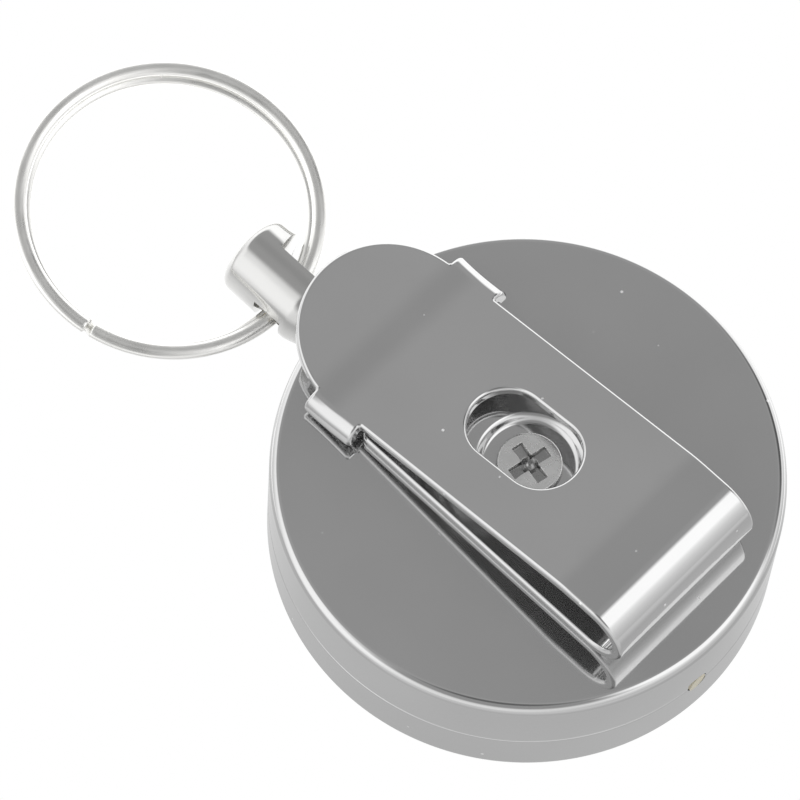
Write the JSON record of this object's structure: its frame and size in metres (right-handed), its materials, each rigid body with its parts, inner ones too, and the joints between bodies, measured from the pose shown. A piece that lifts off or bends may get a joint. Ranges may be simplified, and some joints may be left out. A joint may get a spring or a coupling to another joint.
{
  "type": "retractable badge reel",
  "caption": "Round chromed retractable reel with a spring belt clip, a cord that runs out through a metal end fitting, and a split ring for keys or a badge.",
  "frame": {"origin": "centre of the flat front face, on the axis of the round case, with the reel lying on that face", "axes": "+Z from the front face towards the belt clip; +X the way the cord is pulled out, towards the split ring; the clip's fold is at -X"},
  "size_m": [0.0692, 0.04, 0.0185],
  "materials": {
    "chrome_case": "polished chrome plate on drawn steel",
    "chrome_clip": "polished chrome plate on spring steel strip",
    "chrome_fitting": "polished nickel-chrome plate, turned",
    "nickel_wire": "nickel plated flattened wire with fine drawing lines",
    "zinc_steel": "bright zinc plate",
    "spring_steel": "blued spring steel strip",
    "brass": "plain crimped brass",
    "housing_nylon": "natural cream nylon, moulded",
    "spool_nylon": "white nylon, moulded",
    "bush_plastic": "black acetal, moulded",
    "washer_plastic": "plain white low-friction sheet",
    "cord_braid": "fine black nylon braid"
  },
  "bodies": {
    "case": {"rear_shell": "chrome_case", "front_shell": "chrome_case", "inner_housing": "housing_nylon", "exit_bush": "bush_plastic", "centre_post": "zinc_steel", "lower_washer": "washer_plastic", "upper_washer": "washer_plastic", "clip_base": "chrome_clip", "clip_screw": "zinc_steel", "cord_lead": "cord_braid"},
    "drum": {"spool": "spool_nylon", "spool_cover": "spool_nylon", "wound_cord": "cord_braid", "cord_knot": "cord_braid", "mainspring": "spring_steel"},
    "cord_end": {"cord_ferrule": "brass"},
    "fitting": {"end_fitting": "chrome_fitting"},
    "ring": {"split_ring": "nickel_wire"},
    "arm": {"clip_arm": "chrome_clip"}
  },
  "joints": [
    {"name": "cord_pull", "type": "slide", "parent": "case", "child": "cord_end", "axis": [1, 0, 0], "range_m": [0, 0.6], "stiffness_N_per_m": 2, "springref_m": -0.35, "deforming": ["cord_lead"]},
    {"name": "spool_spin", "type": "hinge", "parent": "case", "child": "drum", "pos_m": [0, 0, 0.0062], "axis": [0, 0, -1], "range_deg": [0, 2760], "deforming": ["mainspring"]},
    {"name": "fitting_swivel", "type": "hinge", "parent": "cord_end", "child": "fitting", "pos_m": [0.0219, 0, 0.0062], "axis": [1, 0, 0], "continuous": true},
    {"name": "ring_swing", "type": "hinge", "parent": "fitting", "child": "ring", "pos_m": [0.025, 0.00235, 0.00575], "axis": [0, -1, 0], "range_deg": [-95, 80]},
    {"name": "clip_flex", "type": "hinge", "parent": "case", "child": "arm", "pos_m": [-0.01305, 0, 0.01525], "axis": [0, -1, 0], "range_deg": [0, 8], "stiffness_Nm_per_rad": 2}
  ],
  "couplings": [
    {"joint": "spool_spin", "follows": "cord_pull", "rad_per_m": 80}
  ]
}
